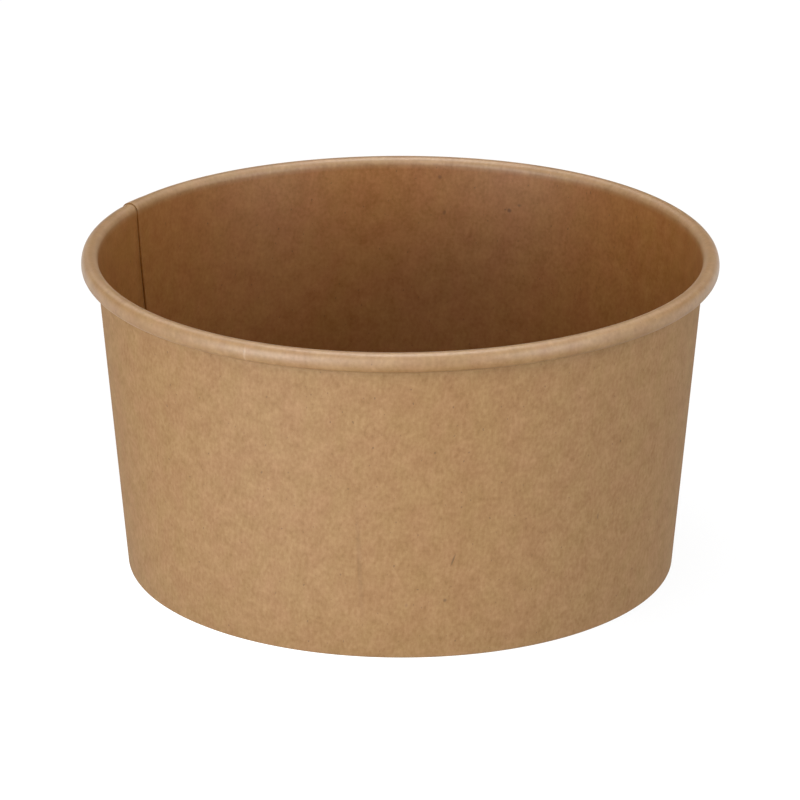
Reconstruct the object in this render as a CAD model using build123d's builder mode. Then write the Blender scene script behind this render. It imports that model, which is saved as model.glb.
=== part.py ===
from build123d import *
import os
from math import asin, atan2, cos, degrees, sin

# Kraft board salad bowl with a wound side wall and a recessed base disc
# Millimetres, +Z up, origin at the centre of the ring that it stands on

# Overall size
rim_diameter = 150.0      # over the rolled rim
base_diameter = 130.0     # outside of the wall, at the table
bowl_height = 77.0        # table to the top of the rim

# Board and seal
board = 0.45              # one thickness of coated kraft board
seal_film = 0.03          # melted coating between sealed faces

# Rolled rim
roll_width = 3.8          # from the wall's inner face to the outside of the roll
roll_height = 4.7         # top to underside
roll_clearance = 0.10     # between the wall and the end that is tucked up beside it
roll_tuck = 1.2           # straight length of that end

# Side seam, where the sheet laps over its own start
seam_azimuth = 152.8      # cut edge that shows inside, counted from +X
lap_width = 8.0           # along the rim
step_width = 5.0          # rim length over which the sheet climbs onto its start

# Folded base edge
fold_radius = 0.15        # inside of each of the fold's two bends
hem_height = 7.2          # table to the hem's cut edge

# Base disc
base_recess = 8.4         # table to the disc's underside
disc_bend_radius = 0.35   # inside of the bend into the skirt
skirt_clearance = 0.15    # between the skirt's cut edge and the bottom of the fold

# Slope of the wall: its outer face runs from the foot to the back of the roll
rim_radius = rim_diameter / 2
base_radius = base_diameter / 2
crown_radius = roll_width / 2
foot = Vector(base_radius, 0)
crown = Vector(rim_radius - crown_radius, bowl_height - crown_radius)
wall_angle = atan2(crown.X - foot.X, crown.Y - foot.Y) - asin((crown_radius - board) / (crown - foot).length)
up_wall = Vector(sin(wall_angle), cos(wall_angle))
off_wall = Vector(cos(wall_angle), -sin(wall_angle))

# Lengths and radii of the roll, and the gap that the fold keeps for the skirt
under_radius = (roll_width - board - roll_clearance) / 2
roll_side = (roll_height - crown_radius - under_radius) / cos(wall_angle)
skirt_gap = board + 2 * seal_film

# Angles of the seam, at the rim
lap_angle = degrees(lap_width / rim_radius)
step_angle = degrees(step_width / rim_radius)


# Half plane through the axis at an azimuth, with x outward and y up
def radial_plane(azimuth):
    return Plane.XZ.rotated((0, 0, azimuth))


# Point on a line up the wall, at a height and a distance off the wall's inner face
def beside_wall(distance, height):
    start = foot + off_wall * (distance - board)
    return start + up_wall * ((height - start.Y) / up_wall.Y)


# One face of the sheet, from the hem's cut edge to the tucked end of the roll
# Depth counts from the inner face of the bowl, so the sheet's back is one board deeper
def sheet_face(depth, fold_height, bend_radius):
    folded = FilletPolyline(
        beside_wall(-skirt_gap - depth, hem_height),
        beside_wall(-skirt_gap - depth, fold_height),
        beside_wall(depth, fold_height),
        crown - off_wall * (crown_radius - depth),
        radius=bend_radius,
    )
    over = JernArc(folded @ 1, up_wall, crown_radius - depth, -180)
    side = PolarLine(over @ 1, roll_side, direction=-up_wall)
    under = JernArc(side @ 1, -up_wall, under_radius - depth, -180)
    tuck = PolarLine(under @ 1, roll_tuck, direction=up_wall)
    return folded @ 0, tuck @ 1


# Section of the sheet at an azimuth: layer 0 lies on the mandrel, layer 1 is wound over it
def sheet_section(azimuth, layers):
    with BuildSketch(radial_plane(azimuth)) as section:
        for layer in layers:
            depth = layer * board
            with BuildLine():
                food_start, food_end = sheet_face(depth, board, fold_radius)
                back_start, back_end = sheet_face(depth + board, 0, fold_radius + board)
                Line(food_start, back_start)
                Line(food_end, back_end)
            make_face()
    return section.sketch


os.makedirs("parts", exist_ok=True)

# Side wall: lapped seam, the step down from it, then once round on the mandrel back to the lap
lap_start = seam_azimuth - lap_angle
step_end = seam_azimuth + step_angle
with BuildPart() as side_wall:
    revolve(sheet_section(lap_start, [0, 1]), axis=Axis.Z, revolution_arc=lap_angle)
    loft([sheet_section(seam_azimuth, [1]), sheet_section(step_end, [0])], ruled=True)
    revolve(sheet_section(step_end, [0]), axis=Axis.Z, revolution_arc=360 - lap_angle - step_angle)
side_wall.part.label = "side_wall"
export_step(side_wall.part, "parts/side_wall.step")

# Base disc: flat floor with its edge turned down as a skirt, parallel to the wall
skirt_depth = -seal_film
skirt_foot = board + skirt_clearance
with BuildPart() as base_disc:
    with BuildSketch(radial_plane(seam_azimuth)):
        with BuildLine():
            food = FilletPolyline(
                (0, base_recess + board),
                beside_wall(skirt_depth, base_recess + board),
                beside_wall(skirt_depth, skirt_foot),
                radius=disc_bend_radius + board,
            )
            back = FilletPolyline(
                (0, base_recess),
                beside_wall(skirt_depth - board, base_recess),
                beside_wall(skirt_depth - board, skirt_foot),
                radius=disc_bend_radius,
            )
            Line(food @ 0, back @ 0)
            Line(food @ 1, back @ 1)
        make_face()
    revolve(axis=Axis.Z)
base_disc.part.label = "base_disc"
export_step(base_disc.part, "parts/base_disc.step")
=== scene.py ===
from math import asin, atan2, cos, degrees, hypot, pi, radians, sin, tan

import bpy
from mathutils import Matrix, Vector


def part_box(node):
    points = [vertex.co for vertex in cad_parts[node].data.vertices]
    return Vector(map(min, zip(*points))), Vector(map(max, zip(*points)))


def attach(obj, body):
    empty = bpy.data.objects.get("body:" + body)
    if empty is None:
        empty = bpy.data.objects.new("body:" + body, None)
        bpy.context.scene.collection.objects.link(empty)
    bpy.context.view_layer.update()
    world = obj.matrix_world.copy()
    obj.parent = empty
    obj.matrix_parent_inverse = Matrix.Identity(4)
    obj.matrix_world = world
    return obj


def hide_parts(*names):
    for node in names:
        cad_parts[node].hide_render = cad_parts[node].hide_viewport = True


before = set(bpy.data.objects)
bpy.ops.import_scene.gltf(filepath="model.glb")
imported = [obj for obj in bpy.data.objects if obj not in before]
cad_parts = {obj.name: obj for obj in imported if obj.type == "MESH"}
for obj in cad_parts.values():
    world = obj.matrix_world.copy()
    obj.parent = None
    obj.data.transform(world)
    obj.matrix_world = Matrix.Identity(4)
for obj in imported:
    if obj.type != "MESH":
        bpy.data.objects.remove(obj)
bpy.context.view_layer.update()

# Kraft board salad bowl. Everything is modelled in millimetres and set to metres at the end of each piece
metre = 1000                   # millimetres
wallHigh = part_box("side_wall")[1]
rimRadius = wallHigh.x * metre
bowlHeight = wallHigh.z * metre

# The board that both pieces are cut from
boardSpec = {
    "thickness": 0.45,
    "sealFilm": 0.03,          # melted coating between two sealed faces
    "edgeRounding": 0.06,      # the cut edges aren't knife sharp
    "edgeAngle": 60,           # degrees from which a corner is such an edge
    "smoothAngle": 40,         # degrees up to which faces are shaded as one surface
}

# The wound side wall
wallSpec = {
    "baseRadius": 65.0,        # outside of the wall at the table
    "rollWidth": 3.8,          # from the inner face of the wall to the outside of the roll
    "rollHeight": 4.7,
    "rollClearance": 0.10,
    "rollTuck": 1.2,           # straight end of the roll, tucked up beside the wall
    "bellyRadius": 4.0,        # the roll's side swells out a little
    "bellyTurn": 25.0,
    "foldRadius": 0.15,
    "hemHeight": 7.2,
    "seamAzimuth": 152.8,      # degrees from +X to the cut edge that shows inside
    "lapWidth": 8.0,
    "stepWidth": 5.0,
    "seamLean": 0.6,           # degrees that the seam has swung round at the rim
    "rollPress": 0.35,         # share of its thickness that the doubled board loses in the roll
    "rimLift": 0.25,           # how far the cut edge stands out of the rim
    "pressBelow": 3.0,         # the die starts to press this far below the roll
    "pressRise": 4.0,          # and presses fully this much further up
    "knurlPitch": 2.0,         # degrees from rib to rib of the pressed marks on the hem
    "knurlDepth": 0.14,
    "knurlMargin": 0.8,        # smooth strip below the marks
    "knurlFade": 1.2,          # length over which they rise from nothing
    "degreesPerColumn": 0.5,
    "hemCuts": 6,              # how finely each stretch of the section is divided, from here on
    "foldCuts": 4,
    "wallCuts": 6,
    "crownCuts": 18,
    "bellyCuts": 6,
    "underCuts": 14,
    # how the rim is out of round and out of level: cosine and sine part by number of waves round the rim
    "roundness": {2: (-0.168, 0.088), 3: (-0.116, -0.013)},
    "level": {1: (-0.025, -0.094), 2: (0.129, -0.187), 3: (-0.135, 0.108)},
}

board = boardSpec["thickness"]
crownRadius = wallSpec["rollWidth"] / 2
foot = Vector((wallSpec["baseRadius"], 0))
crown = Vector((rimRadius - crownRadius, bowlHeight - crownRadius))
crownSpoke = crown - foot
wallAngle = atan2(crownSpoke.x, crownSpoke.y) - asin((crownRadius - board) / crownSpoke.length)
upWall = Vector((sin(wallAngle), cos(wallAngle)))
offWall = Vector((cos(wallAngle), -sin(wallAngle)))


def linear(hexColour):    # an sRGB hex colour as the linear values that a shader works in
    parts = [int(hexColour[place:place + 2], 16) / 255 for place in (1, 3, 5)]
    return [part / 12.92 if part <= 0.04045 else ((part + 0.055) / 1.055) ** 2.4 for part in parts] + [1]


# Adds a node with its settings. An input is a value, or the output that it is linked to
def addNode(tree, kind, settings, inputs):
    node = tree.nodes.new(kind)
    for name, value in settings.items():
        setattr(node, name, value)
    for socket, value in inputs.items():
        if isinstance(value, bpy.types.NodeSocket):
            tree.links.new(value, node.inputs[socket])
        else:
            node.inputs[socket].default_value = value
    return node


# The blank of the wall is a fan round the tip of the wall's cone. A place on it is given by how far up
# the sheet it lies from the foot, and how far round, in degrees clockwise from the cut edge that shows
coneTip = wallSpec["baseRadius"] / sin(wallAngle)
blankMiddle = 183              # degrees round from the cut edge to the middle of the fan
rollStart = (bowlHeight - crownRadius) / cos(wallAngle)
rollSide = rollStart + pi * crownRadius    # where the roll has turned down again


def blankPlace(up, swept):
    turn = radians(swept - blankMiddle) * sin(wallAngle)
    return ((coneTip + up) * sin(turn), (coneTip + up) * cos(turn), turn)


# Unbleached kraft board, from long softwood fibres: a warm brown with cloudy patches, fine streaks that
# run with the fibres, and a few dark specks of bark. Darker patches are also stronger in colour. Sizes
# are in millimetres on the flat board. Single fibres, 0.03 mm across, are too fine to show, so the
# streaks and the grain stand for bundles of them
boardLook = {
    "cloudSize": 4.5,
    "driftSize": 6.0,          # patches that are a little redder or greener
    "hueDrift": 0.003,
    "streakWidth": 0.85,
    "streakLength": 1.7,
    "grainSize": 0.95,
    "speckWidth": 0.8,
    "speckLength": 1.2,
    "speckLean": 24,           # degrees from the run of the fibres
    "speckShift": (31, 17, 0),    # so that specks don't follow the streaks
    "speckShare": 0.785,       # higher is fewer specks
    "speckFade": 0.06,         # higher is softer ones
    "markCore": 0.3,           # full strength up to here, as a share of a mark's half size
    "markRim": 1.2,            # and nothing from here on
    "reliefDepth": 0.012,      # how far fibres stand out of the face
    "polishFade": 2.0,         # length over which the polish of the roll ends
}

# Marks of this one bowl, by azimuth and distance up the sheet: bark fibres and the painted shade of a long
# faint crease on the outside, bark fibres and a pale streak on the roll, where its sheen lies, on the food
# side
outsideMarks = [
    {"azimuth": 280.2, "up": 24.6, "length": 3.6, "width": 0.5, "lean": 19, "strength": 0.60},
    {"azimuth": 278.8, "up": 14.5, "length": 1.1, "width": 1.0, "lean": 0, "strength": 0.50},
    {"azimuth": 271.2, "up": 13.5, "length": 1.2, "width": 0.7, "lean": 10, "strength": 0.32},
    {"azimuth": 312.0, "up": 29.2, "length": 1.9, "width": 0.5, "lean": 0, "strength": 0.50},
    # painted shade of a long faint crease: a dark streak, with no crease in the shape
    {"azimuth": 262.0, "up": 24.0, "length": 30.0, "width": 1.4, "lean": -2, "strength": 0.14},
]
insideMarks = [
    {"azimuth": 67.3, "up": 65.5, "length": 1.2, "width": 1.3, "lean": 0, "strength": 0.55},
    {"azimuth": 65.2, "up": 67.1, "length": 0.8, "width": 1.2, "lean": 0, "strength": 0.40},
    {"azimuth": 80.8, "up": 63.6, "length": 1.5, "width": 1.0, "lean": 20, "strength": 0.40},
    {"azimuth": 81.7, "up": 72.6, "length": 1.1, "width": 1.2, "lean": 0, "strength": 0.40},
    # a pale streak painted on the roll, where its sheen lies
    {"azimuth": 241.7, "up": 81.9, "length": 4.4, "width": 0.7, "lean": 0, "strength": 0.10,
     "colour": "#C8B9A8"},
]


def boardMaterial(name, look, marks, side):    # side is 1 on the outside of the wall and -1 on the inside
    material = bpy.data.materials.new(name)
    material.use_nodes = True
    tree = material.node_tree
    tree.nodes.clear()
    blank = addNode(tree, "ShaderNodeUVMap", {"uv_map": "blank"}, {}).outputs["UV"]
    fibre = boardLook
    noise = {"noise_dimensions": "2D"}

    along = addNode(tree, "ShaderNodeMapping", {}, {
        "Vector": blank,
        "Scale": (1 / fibre["streakWidth"], 1 / fibre["streakLength"], 1),
    })
    across = addNode(tree, "ShaderNodeMapping", {}, {
        "Vector": blank,
        "Location": fibre["speckShift"],
        "Rotation": (0, 0, radians(fibre["speckLean"])),
        "Scale": (1 / fibre["speckWidth"], 1 / fibre["speckLength"], 1),
    })
    cloud = addNode(tree, "ShaderNodeTexNoise", noise, {
        "Vector": blank, "Scale": 1 / fibre["cloudSize"], "Detail": 3, "Roughness": 0.6,
    })
    drift = addNode(tree, "ShaderNodeTexNoise", noise, {
        "Vector": across.outputs["Vector"], "Scale": fibre["speckWidth"] / fibre["driftSize"], "Detail": 1,
    })
    streak = addNode(tree, "ShaderNodeTexNoise", noise, {
        "Vector": along.outputs["Vector"], "Scale": 1, "Detail": 3, "Roughness": 0.6,
    })
    grain = addNode(tree, "ShaderNodeTexNoise", noise, {
        "Vector": blank, "Scale": 1 / fibre["grainSize"], "Detail": 2, "Roughness": 0.5,
    })
    speck = addNode(tree, "ShaderNodeTexNoise", noise, {
        "Vector": across.outputs["Vector"], "Scale": 1, "Detail": 1.0, "Roughness": 0.4,
    })

    # three of the patterns add up to one lightness, whose middle stays at a half
    middle = 0.5 - 0.5 * (look["cloud"] + look["streak"] + look["grain"])
    lightness = addNode(tree, "ShaderNodeMath", {"operation": "MULTIPLY_ADD"}, {
        0: cloud.outputs["Fac"], 1: look["cloud"], 2: middle,
    })
    lightness = addNode(tree, "ShaderNodeMath", {"operation": "MULTIPLY_ADD"}, {
        0: streak.outputs["Fac"], 1: look["streak"], 2: lightness.outputs[0],
    })
    lightness = addNode(tree, "ShaderNodeMath", {"operation": "MULTIPLY_ADD"}, {
        0: grain.outputs["Fac"], 1: look["grain"], 2: lightness.outputs[0],
    })
    colour = addNode(tree, "ShaderNodeMix", {"data_type": "RGBA"}, {
        0: lightness.outputs[0], 6: linear(look["dark"]), 7: linear(look["light"]),
    }).outputs[2]

    # the roll stretches the board, which turns it paler. On the food face the gap is wider, because the
    # colour off the roll also holds painted shade of the bowl's inside
    stretched = addNode(tree, "ShaderNodeMix", {"data_type": "RGBA"}, {
        0: lightness.outputs[0], 6: linear(look["rolledDark"]), 7: linear(look["rolledLight"]),
    })
    reach = addNode(tree, "ShaderNodeVectorMath", {"operation": "LENGTH"}, {0: blank})
    isRolled = addNode(tree, "ShaderNodeMapRange", {"interpolation_type": "SMOOTHSTEP"}, {
        "Value": reach.outputs["Value"],
        "From Min": coneTip + rollStart - look["rollFade"],
        "From Max": coneTip + rollStart + look["rollFade"],
    })
    colour = addNode(tree, "ShaderNodeMix", {"data_type": "RGBA"}, {
        0: isRolled.outputs["Result"], 6: colour, 7: stretched.outputs[2],
    }).outputs[2]

    # a slight drift of hue, then specks and marks
    hue = addNode(tree, "ShaderNodeMapRange", {}, {
        "Value": drift.outputs["Fac"], "From Min": 0.3, "From Max": 0.7,
        "To Min": 0.5 - fibre["hueDrift"], "To Max": 0.5 + fibre["hueDrift"],
    })
    colour = addNode(tree, "ShaderNodeHueSaturation", {}, {
        "Hue": hue.outputs["Result"], "Color": colour,
    }).outputs[0]
    isSpeck = addNode(tree, "ShaderNodeMapRange", {"interpolation_type": "SMOOTHSTEP"}, {
        "Value": speck.outputs["Fac"],
        "From Min": fibre["speckShare"],
        "From Max": fibre["speckShare"] + fibre["speckFade"],
        "To Max": look["speckStrength"],
    })
    colour = addNode(tree, "ShaderNodeMix", {"data_type": "RGBA"}, {
        0: isSpeck.outputs["Result"], 6: colour, 7: linear(look["speck"]),
    }).outputs[2]
    for mark in marks:
        x, y, turn = blankPlace(mark["up"], (wallSpec["seamAzimuth"] - mark["azimuth"]) % 360)
        here = addNode(tree, "ShaderNodeMapping", {"vector_type": "TEXTURE"}, {
            "Vector": blank,
            "Location": (x, y, 0),
            "Rotation": (0, 0, side * radians(mark["lean"]) - turn),
            "Scale": (mark["width"] / 2, mark["length"] / 2, 1),
        })
        away = addNode(tree, "ShaderNodeVectorMath", {"operation": "LENGTH"}, {0: here.outputs["Vector"]})
        isMark = addNode(tree, "ShaderNodeMapRange", {"interpolation_type": "SMOOTHSTEP"}, {
            "Value": away.outputs["Value"],
            "From Min": fibre["markRim"],
            "From Max": fibre["markCore"],
            "To Max": mark["strength"],
        })
        colour = addNode(tree, "ShaderNodeMix", {"data_type": "RGBA"}, {
            0: isMark.outputs["Result"], 6: colour, 7: linear(mark.get("colour", look["speck"])),
        }).outputs[2]

    # the die that rolls the rim polishes the film, but not round the underside of the roll
    gloss = look["coat"]
    if look["polish"] > 0:
        polish = addNode(tree, "ShaderNodeMapRange", {"interpolation_type": "SMOOTHSTEP"}, {
            "Value": reach.outputs["Value"],
            "From Min": coneTip + rollSide,
            "From Max": coneTip + rollSide + fibre["polishFade"],
            "To Min": look["polish"],
            "To Max": 0,
        })
        gloss = addNode(tree, "ShaderNodeMath", {"operation": "MULTIPLY"}, {
            0: isRolled.outputs["Result"], 1: polish.outputs["Result"],
        }).outputs[0]

    bump = addNode(tree, "ShaderNodeBump", {}, {
        "Height": lightness.outputs[0], "Strength": 1.0, "Distance": fibre["reliefDepth"] / metre,
    })
    shader = addNode(tree, "ShaderNodeBsdfPrincipled", {}, {
        "Base Color": colour,
        "Roughness": look["roughness"],
        "IOR": look["ior"],
        "Specular IOR Level": look["specular"],
        "Coat Weight": gloss,
        "Coat Roughness": look["coatRoughness"],
        "Coat IOR": look["coatIor"],
        "Normal": bump.outputs["Normal"],
    })
    addNode(tree, "ShaderNodeOutputMaterial", {}, {"Surface": shader.outputs["BSDF"]})
    return material


# Uncoated kraft board, machine glazed: matt fibres whose tops are pressed smooth, so that a faint wide
# sheen lies over the brown and turns it a little greyer. The thin coat stands for the smooth part
plainKraft = boardMaterial("uncoatedKraftBoard", {
    "dark": "#684A23", "light": "#806240", "speck": "#3E2713", "speckStrength": 0.45,
    "rolledDark": "#684A23", "rolledLight": "#806240", "rollFade": 1.0,
    "cloud": 0.85, "streak": 0.95, "grain": 0.6,
    "roughness": 0.8, "ior": 1.5, "specular": 0.0,
    "coat": 0.3, "polish": 0.0, "coatIor": 2.0, "coatRoughness": 0.55,
}, outsideMarks, 1)

# Kraft board under a thin clear film, with a soft sheen. Its colour is deeper and redder: partly the film
# wetting the fibres, partly painted shade of the bowl's inside, laid on the whole food face. Over the roll
# it is paler, where the board is stretched and the painted shade is left off, and the die leaves it glossier
filmedKraft = boardMaterial("filmCoatedKraftBoard", {
    # dark and light hold painted shade of the bowl's inside as well as the film's own deeper colour
    "dark": "#633B12", "light": "#764F28", "speck": "#2C1807", "speckStrength": 0.4,
    "rolledDark": "#684921", "rolledLight": "#7E603D", "rollFade": 1.2,
    "cloud": 1.1, "streak": 0.65, "grain": 0.75,
    "roughness": 0.5, "ior": 1.5, "specular": 0.3,
    "coat": 0.0, "polish": 0.85, "coatIor": 1.5, "coatRoughness": 0.5,
}, insideMarks, -1)

# The cut edge of the same board: open fibre ends that drink in the hot film, which turns them a strong
# red brown, and that stay quite matt
cutKraft = boardMaterial("cutKraftBoardEdge", {
    "dark": "#684119", "light": "#7C4E1F", "speck": "#241407", "speckStrength": 0.3,
    "rolledDark": "#5B3F22", "rolledLight": "#6E4D2B", "rollFade": 1.0,
    "cloud": 0.8, "streak": 1.2, "grain": 0.75,
    "roughness": 0.9, "ior": 1.45, "specular": 0.2,
    "coat": 0.0, "polish": 0.0, "coatIor": 1.5, "coatRoughness": 0.5,
}, [], 1)


# A point by the wall, from its distance off the wall's inner face and its height
def besideWall(distance, height):
    start = foot + offWall * (distance - board)
    return start + upWall * ((height - start.y) / upWall.y)


# Profiles are drawn as by hand: one point, extruded along straights and spun round bends
def startProfile(name, at):
    bpy.ops.object.select_all(action="DESELECT")
    bpy.ops.mesh.primitive_plane_add(size=1, location=(at.x, 0, at.y))
    bpy.ops.object.transform_apply(location=True)
    piece = bpy.context.object
    piece.name = name
    piece.data.name = name
    for material in (filmedKraft, plainKraft, cutKraft):    # food face, back, cut edge
        piece.data.materials.append(material)
    bpy.ops.object.mode_set(mode="EDIT")
    bpy.ops.mesh.merge(type="CENTER")
    return piece


def lineTo(at, end, cuts=1):
    step = (end - at) / cuts
    for cut in range(cuts):
        bpy.ops.mesh.extrude_region_move(TRANSFORM_OT_translate={"value": (step.x, 0, step.y)})
    return end


def bendRound(at, centre, turn, cuts):    # turn in degrees, anticlockwise seen from the front
    bpy.ops.mesh.spin(steps=cuts, angle=radians(turn), center=(centre.x, 0, centre.y), axis=(0, 1, 0))
    return centre + Matrix.Rotation(radians(turn), 2) @ (at - centre)


# Straight up to a corner and round its bend, which turns from one heading to the next
def cornerTo(at, corner, heading, turn, radius, cuts, lineCuts=1):
    side = Vector((-heading.y, heading.x)) * (1 if turn > 0 else -1)
    bendStart = corner - heading * (radius * tan(radians(abs(turn)) / 2))
    at = lineTo(at, bendStart, lineCuts)
    return bendRound(at, bendStart + side * radius, turn, cuts)


# Distance of each point of a drawn profile from its first one, along the line
def lengthsAlong(piece):
    piece.update_from_editmode()
    points = piece.data.vertices
    neighbours = {v.index: [] for v in points}
    for edge in piece.data.edges:
        first, second = edge.vertices
        neighbours[first].append(second)
        neighbours[second].append(first)
    lengths = {0: 0.0}
    waiting = [0]
    while waiting:
        here = waiting.pop()
        for there in neighbours[here]:
            if there not in lengths:
                lengths[there] = lengths[here] + (points[there].co - points[here].co).length
                waiting.append(there)
    return lengths


def sweepRound(sweep, columns):    # degrees, clockwise seen from above
    bpy.ops.mesh.spin(steps=columns, angle=radians(sweep), center=(0, 0, 0), axis=(0, 0, 1))


def smoothStep(value):
    value = min(max(value, 0.0), 1.0)
    return value * value * (3 - 2 * value)


def applyModifier(piece, kind, settings):
    modifier = piece.modifiers.new(kind.title(), kind)
    for name, value in settings.items():
        setattr(modifier, name, value)
    bpy.ops.object.modifier_apply(modifier=modifier.name)


# Pushes points along their normals, each by its own share of the distance
def pushPoints(piece, shares, distance):
    group = piece.vertex_groups.new(name="push")
    for index, share in shares.items():
        if share > 0:
            group.add([index], share, "REPLACE")
    settings = {"vertex_group": "push", "strength": distance, "mid_level": 0.0, "direction": "NORMAL"}
    applyModifier(piece, "DISPLACE", settings)
    piece.vertex_groups.remove(piece.vertex_groups["push"])


# Board thickness is added behind the food face, with its own materials at the back and at the cut edge
def thickenBoard(piece, shares=None):
    group = piece.vertex_groups.new(name="thickness")
    for v in piece.data.vertices:
        group.add([v.index], shares[v.index] if shares else 1, "REPLACE")
    applyModifier(piece, "SOLIDIFY", {
        "thickness": board,
        "vertex_group": "thickness",
        "offset": -1,
        "use_even_offset": True,
        "use_quality_normals": True,
        "material_offset": 1,
        "material_offset_rim": 2,
    })
    applyModifier(piece, "BEVEL", {
        "width": boardSpec["edgeRounding"],
        "segments": 2,
        "limit_method": "ANGLE",
        "angle_limit": radians(boardSpec["edgeAngle"]),
    })
    bpy.ops.object.shade_smooth_by_angle(angle=radians(boardSpec["smoothAngle"]))


def setInMetres(piece):
    piece.scale = (1 / metre, 1 / metre, 1 / metre)
    bpy.ops.object.transform_apply(scale=True)


def addBlankMap(piece, placeOnBlank):    # the map is the flat cut board, in millimetres
    layer = piece.data.uv_layers.new(name="blank")
    for loop in piece.data.loops:
        layer.data[loop.index].uv = placeOnBlank(loop.vertex_index)


def makeSideWall():
    spec = wallSpec
    film = boardSpec["sealFilm"]
    skirtGap = board + 2 * film
    tilt = degrees(wallAngle)
    level = Vector((1, 0))

    # food face of the sheet: hem, fold, wall, roll
    at = besideWall(-skirtGap, spec["hemHeight"])
    piece = startProfile("side_wall_board", at)
    innerCorner = besideWall(-skirtGap, board)
    outerCorner = besideWall(0, board)
    at = cornerTo(at, innerCorner, -upWall, 90 + tilt, spec["foldRadius"], spec["foldCuts"], spec["hemCuts"])
    at = cornerTo(at, outerCorner, level, 90 - tilt, spec["foldRadius"], spec["foldCuts"])
    at = lineTo(at, crown - offWall * crownRadius, spec["wallCuts"])
    at = bendRound(at, crown, spec["bellyTurn"] - 180, spec["crownCuts"])
    bellyCentre = at + (crown - at) * (spec["bellyRadius"] / crownRadius)
    at = bendRound(at, bellyCentre, -spec["bellyTurn"], spec["bellyCuts"])
    tuckedSide = board + spec["rollClearance"] - crownRadius
    underRadius = ((at - crown).dot(offWall) - tuckedSide) / 2
    at = bendRound(at, at - offWall * underRadius, -180, spec["underCuts"])
    lineTo(at, at + upWall * spec["rollTuck"])
    along = lengthsAlong(piece)
    rows = len(along)

    # wound once round, then up the step and on over its own start
    lapAngle = degrees(spec["lapWidth"] / rimRadius)
    stepAngle = degrees(spec["stepWidth"] / rimRadius)
    roundColumns = round((360 - stepAngle) / spec["degreesPerColumn"])
    seamColumns = round(2 * (stepAngle + lapAngle) / spec["degreesPerColumn"])
    bpy.ops.mesh.select_all(action="SELECT")
    sweepRound(360 - stepAngle, roundColumns)
    sweepRound(stepAngle + lapAngle, seamColumns)
    bpy.ops.object.mode_set(mode="OBJECT")
    piece.rotation_euler.z = radians(spec["seamAzimuth"])
    bpy.ops.object.transform_apply(rotation=True)

    def swept(index):    # how far round a point lies, in degrees from the cut edge that shows inside
        column = index // rows
        if column <= roundColumns:
            return column * (360 - stepAngle) / roundColumns
        return 360 - stepAngle + (column - roundColumns) * (stepAngle + lapAngle) / seamColumns

    # the hem and the fold come first along the sheet, below the foot
    hemLength = (spec["hemHeight"] - board) / cos(wallAngle) + skirtGap - board
    addBlankMap(piece, lambda index: blankPlace(along[index % rows] - hemLength, swept(index))[:2])

    # food side out: the wall's faces look at the axis
    middle = max(piece.data.polygons, key=lambda face: face.area)
    if middle.normal.dot(Vector((middle.center.x, middle.center.y, 0))) > 0:
        bpy.ops.object.mode_set(mode="EDIT")
        bpy.ops.mesh.select_all(action="SELECT")
        bpy.ops.mesh.flip_normals()
        bpy.ops.object.mode_set(mode="OBJECT")

    # the end of the sheet steps out under its start. The die of the roll presses the doubled board
    # thinner there, and leaves the cut edge a little proud of the rim
    points = piece.data.vertices
    pressStart = hemLength + bowlHeight - spec["rollHeight"] - spec["pressBelow"]
    fullStep = board + film
    start = {}
    end = {}
    thickness = {}
    for v in points:
        turn = swept(v.index)
        pressed = smoothStep((along[v.index % rows] - pressStart) / spec["pressRise"])
        lifted = spec["rimLift"] * pressed * max(1 - turn % 360 / lapAngle, 0)
        stepUp = smoothStep((turn - 360 + stepAngle) / stepAngle)
        doubled = max(stepUp, 1 - smoothStep((turn - lapAngle) / stepAngle))
        thickness[v.index] = 1 - spec["rollPress"] * pressed * doubled
        layerStep = board * (1 - spec["rollPress"] * pressed) + film
        if turn < 180:
            start[v.index] = lifted / fullStep
        elif turn < 360:
            end[v.index] = stepUp * (layerStep - spec["rimLift"] * pressed) / fullStep
        else:
            end[v.index] = (layerStep - lifted) / fullStep
    pushPoints(piece, start, fullStep)
    pushPoints(piece, end, -fullStep)

    # the fold stays flat on the table, and the start of the sheet is folded above its end
    for v in points:
        under = 1 - smoothStep((swept(v.index) - lapAngle) / stepAngle)
        v.co.z = max(v.co.z, board + under * (board + film))

    # pressed marks on the hem
    marksEnd = spec["hemHeight"] - spec["knurlMargin"]
    marks = {}
    for v in points:
        down = along[v.index % rows]
        if down < marksEnd:
            rib = 0.5 + 0.5 * cos(2 * pi * swept(v.index) / spec["knurlPitch"])
            fadeIn = smoothStep(down / spec["knurlFade"])
            fadeOut = smoothStep((marksEnd - down) / spec["knurlFade"])
            marks[v.index] = rib * (fadeIn * fadeOut)
    pushPoints(piece, marks, -spec["knurlDepth"])

    # the seam leans, and the rim isn't quite round or level, less so further down
    for v in points:
        share = v.co.z / bowlHeight
        v.co.rotate(Matrix.Rotation(radians(spec["seamLean"]) * share * share, 3, "Z"))
        azimuth = atan2(v.co.y, v.co.x)
        out = sum(a * cos(n * azimuth) + b * sin(n * azimuth) for n, (a, b) in spec["roundness"].items())
        rise = sum(a * cos(n * azimuth) + b * sin(n * azimuth) for n, (a, b) in spec["level"].items())
        radius = hypot(v.co.x, v.co.y)
        v.co.x *= 1 + share * out / radius
        v.co.y *= 1 + share * out / radius
        v.co.z += share * rise

    thickenBoard(piece, thickness)
    setInMetres(piece)
    print("side wall:", len(piece.data.polygons), "faces")
    return piece


# The floor of the bowl
discSpec = {
    "recess": 8.4,             # table to the underside
    "bendRadius": 0.35,        # inside of the bend into the skirt
    "skirtFoot": 1.10,         # clears the doubled fold at the seam
    "crown": 0.25,             # the floor bows up a little
    "crownMargin": 3.0,        # flat ring round the bow
    "degreesPerColumn": 1.0,
    "floorCuts": 10,           # how finely its section is divided, from here on
    "bendCuts": 8,
    "skirtCuts": 3,
}


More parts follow.
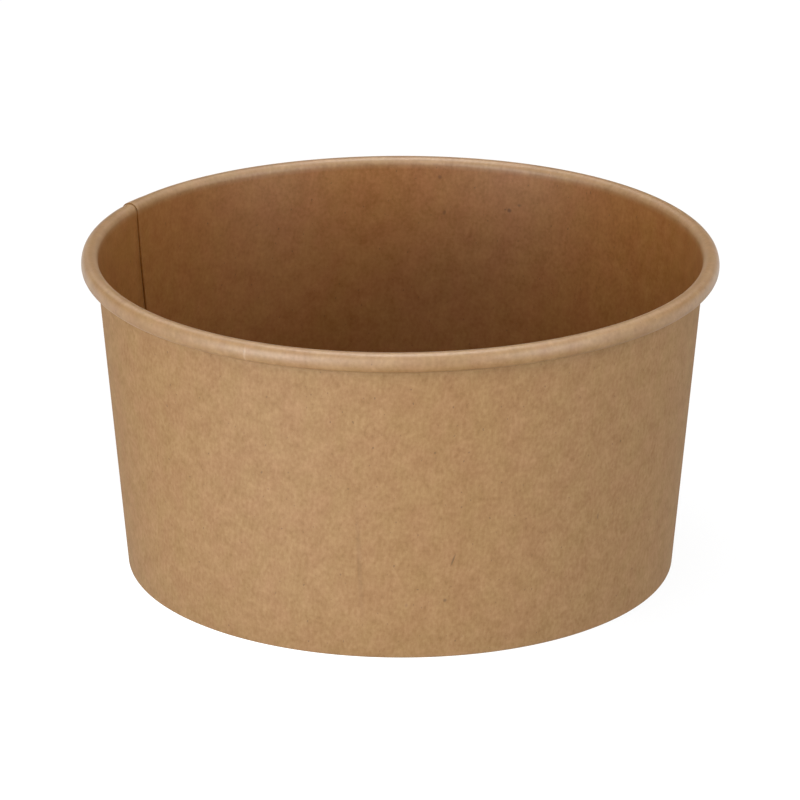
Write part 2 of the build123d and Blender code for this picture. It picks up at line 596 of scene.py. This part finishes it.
def makeBaseDisc():
    spec = discSpec
    skirt = -boardSpec["sealFilm"]
    floorHeight = spec["recess"] + board
    tilt = degrees(wallAngle)

    at = Vector((0, floorHeight))
    piece = startProfile("base_disc_board", at)
    corner = besideWall(skirt, floorHeight)
    bendRadius = spec["bendRadius"] + board
    at = cornerTo(at, corner, Vector((1, 0)), -90 - tilt, bendRadius, spec["bendCuts"], spec["floorCuts"])
    lineTo(at, besideWall(skirt, spec["skirtFoot"]), spec["skirtCuts"])
    along = lengthsAlong(piece)
    rows = len(along)
    columns = round(360 / spec["degreesPerColumn"])
    bpy.ops.mesh.select_all(action="SELECT")
    sweepRound(360, columns)
    bpy.ops.object.mode_set(mode="OBJECT")

    def placeOnBlank(index):
        turn = radians(index // rows * spec["degreesPerColumn"])
        return (along[index % rows] * cos(turn), along[index % rows] * sin(turn))

    addBlankMap(piece, placeOnBlank)

    # the two ends of the sweep are joined, and the middle is closed
    bpy.ops.object.mode_set(mode="EDIT")
    bpy.ops.mesh.select_all(action="SELECT")
    bpy.ops.mesh.remove_doubles(threshold=0.001)
    bpy.ops.mesh.normals_make_consistent(inside=False)
    bpy.ops.object.mode_set(mode="OBJECT")
    floorFace = min(piece.data.polygons, key=lambda face: hypot(face.center.x, face.center.y))
    if floorFace.normal.z < 0:
        bpy.ops.object.mode_set(mode="EDIT")
        bpy.ops.mesh.flip_normals()
        bpy.ops.object.mode_set(mode="OBJECT")
    bowRadius = foot.x - spec["crownMargin"]
    for v in piece.data.vertices:    # a slight bow, as in any floor of thin board
        if v.co.z > floorHeight - 0.01:
            v.co.z += spec["crown"] * smoothStep(1 - hypot(v.co.x, v.co.y) / bowRadius)
    thickenBoard(piece)
    setInMetres(piece)
    print("base disc:", len(piece.data.polygons), "faces")
    return piece


def dressBoard(piece, node):
    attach(piece, "root")
    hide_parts(node)


sideWall = makeSideWall()
baseDisc = makeBaseDisc()
dressBoard(sideWall, "side_wall")
dressBoard(baseDisc, "base_disc")

# Light table: opal acrylic that glows white, brightest at the front left, under large soft lamps. Lengths
# are in metres
studioSpec = {
    "tableSize": 6.0,
    "tableColour": "#404040",
    "tableRoughness": 0.9,
    "tableGlow": 0.93,
    "poolGlow": 2.2,           # at the brightest place
    "poolPlace": (-0.12, -0.16, 0),
    "poolRadius": 0.22,
    "whiteBelow": 4.5,         # the walls are white up to this many degrees above the horizon
    "blackAbove": 8.0,         # and black from here up
    "lampAim": 0.04,           # height over the table that the lamps point at
}

# Soft lamps: where they stand, in degrees round from +X and above the table, their distance and size in
# metres, and their power in watts
lampSpec = {
    "lowLeftLamp": {"azimuth": 212, "elevation": 5, "distance": 1.6, "size": 0.5, "power": 3.0},
    "lowFrontLamp": {"azimuth": 225, "elevation": 6, "distance": 1.6, "size": 0.6, "power": 12.5},
    "keyLamp": {"azimuth": 240, "elevation": 15, "distance": 1.8, "size": 1.8, "power": 28.0},
    "frontLamp": {"azimuth": 270, "elevation": 40, "distance": 1.8, "size": 1.8, "power": 11.0},
    "lowRightLamp": {"azimuth": 320, "elevation": 12, "distance": 1.6, "size": 0.6, "power": 13.5},
    "rightLamp": {"azimuth": 345, "elevation": 35, "distance": 1.8, "size": 1.2, "power": 12.2},
    "leftLamp": {"azimuth": 190, "elevation": 30, "distance": 1.8, "size": 1.2, "power": 6.5},
    "backLeftLamp": {"azimuth": 130, "elevation": 45, "distance": 1.8, "size": 1.2, "power": 8.2},
    "backRightLamp": {"azimuth": 50, "elevation": 45, "distance": 1.8, "size": 1.2, "power": 6.3},
    "topLamp": {"azimuth": 90, "elevation": 85, "distance": 1.8, "size": 1.2, "power": 35.5},
}


def makeTable():
    bpy.ops.object.select_all(action="DESELECT")
    bpy.ops.mesh.primitive_plane_add(size=studioSpec["tableSize"], location=(0, 0, 0))
    table = bpy.context.object
    table.name = "table"
    # opal acrylic, lit from below: matt, and so bright that shadows stay faint
    material = bpy.data.materials.new("opalAcrylicTable")
    material.use_nodes = True
    tree = material.node_tree
    shader = tree.nodes["Principled BSDF"]
    shader.inputs["Base Color"].default_value = linear(studioSpec["tableColour"])
    shader.inputs["Roughness"].default_value = studioSpec["tableRoughness"]
    shader.inputs["Specular IOR Level"].default_value = 0.0
    shader.inputs["Emission Color"].default_value = (1, 1, 1, 1)
    place = addNode(tree, "ShaderNodeTexCoord", {}, {}).outputs["Object"]
    away = addNode(tree, "ShaderNodeVectorMath", {"operation": "DISTANCE"}, {
        0: place, 1: studioSpec["poolPlace"],
    })
    glow = addNode(tree, "ShaderNodeMapRange", {"interpolation_type": "SMOOTHSTEP"}, {
        "Value": away.outputs["Value"],
        "From Min": 0,
        "From Max": studioSpec["poolRadius"],
        "To Min": studioSpec["poolGlow"],
        "To Max": studioSpec["tableGlow"],
    })
    tree.links.new(glow.outputs["Result"], shader.inputs["Emission Strength"])
    table.data.materials.append(material)


def makeLamps():
    target = Vector((0, 0, studioSpec["lampAim"]))
    for name, spec in lampSpec.items():
        azimuth = radians(spec["azimuth"])
        elevation = radians(spec["elevation"])
        spoke = Vector((cos(elevation) * cos(azimuth), cos(elevation) * sin(azimuth), sin(elevation)))
        place = target + spoke * spec["distance"]
        bpy.ops.object.light_add(type="AREA", location=place)
        lamp = bpy.context.object
        lamp.name = name
        lamp.rotation_euler = (-spoke).to_track_quat("-Z", "Y").to_euler()
        lamp.data.shape = "DISK"
        lamp.data.size = spec["size"]
        lamp.data.energy = spec["power"]


# The studio's walls: white at the height of the table, so that it has no visible end, and black above
def makeWalls():
    world = bpy.data.worlds.new("studio")
    bpy.context.scene.world = world
    world.use_nodes = True
    tree = world.node_tree
    direction = addNode(tree, "ShaderNodeTexCoord", {}, {}).outputs["Generated"]
    height = addNode(tree, "ShaderNodeSeparateXYZ", {}, {"Vector": direction}).outputs["Z"]
    glow = addNode(tree, "ShaderNodeMapRange", {"interpolation_type": "SMOOTHSTEP"}, {
        "Value": height,
        "From Min": sin(radians(studioSpec["whiteBelow"])),
        "From Max": sin(radians(studioSpec["blackAbove"])),
        "To Min": 1,
        "To Max": 0,
    })
    background = tree.nodes["Background"]
    background.inputs["Color"].default_value = (1, 1, 1, 1)
    tree.links.new(glow.outputs["Result"], background.inputs["Strength"])


# The view: from the front, 20 degrees above the table, with a long lens. The place is in metres, the lens
# and its sensor in millimetres
viewSpec = {
    "distance": 1.29885,
    "elevation": 20.063,
    "lookHeight": 0.039156,
    "sideways": -0.000134,
    "focalLength": 246.26,
    "sensorWidth": 36,
    "roll": 0.119,
    "farthest": 20,
}


def makeCamera():
    elevation = radians(viewSpec["elevation"])
    reach = viewSpec["distance"]
    height = viewSpec["lookHeight"] + reach * sin(elevation)
    bpy.ops.object.camera_add(location=(viewSpec["sideways"], -reach * cos(elevation), height))
    camera = bpy.context.object
    camera.name = "camera"
    upright = Matrix.Rotation(radians(90) - elevation, 4, "X")
    camera.rotation_euler = (upright @ Matrix.Rotation(radians(viewSpec["roll"]), 4, "Z")).to_euler()
    camera.data.lens = viewSpec["focalLength"]
    camera.data.sensor_width = viewSpec["sensorWidth"]
    camera.data.clip_end = viewSpec["farthest"]
    bpy.context.scene.camera = camera


makeTable()
makeLamps()
makeWalls()
makeCamera()
bpy.context.scene.view_settings.view_transform = "Standard"
print("studio ready")
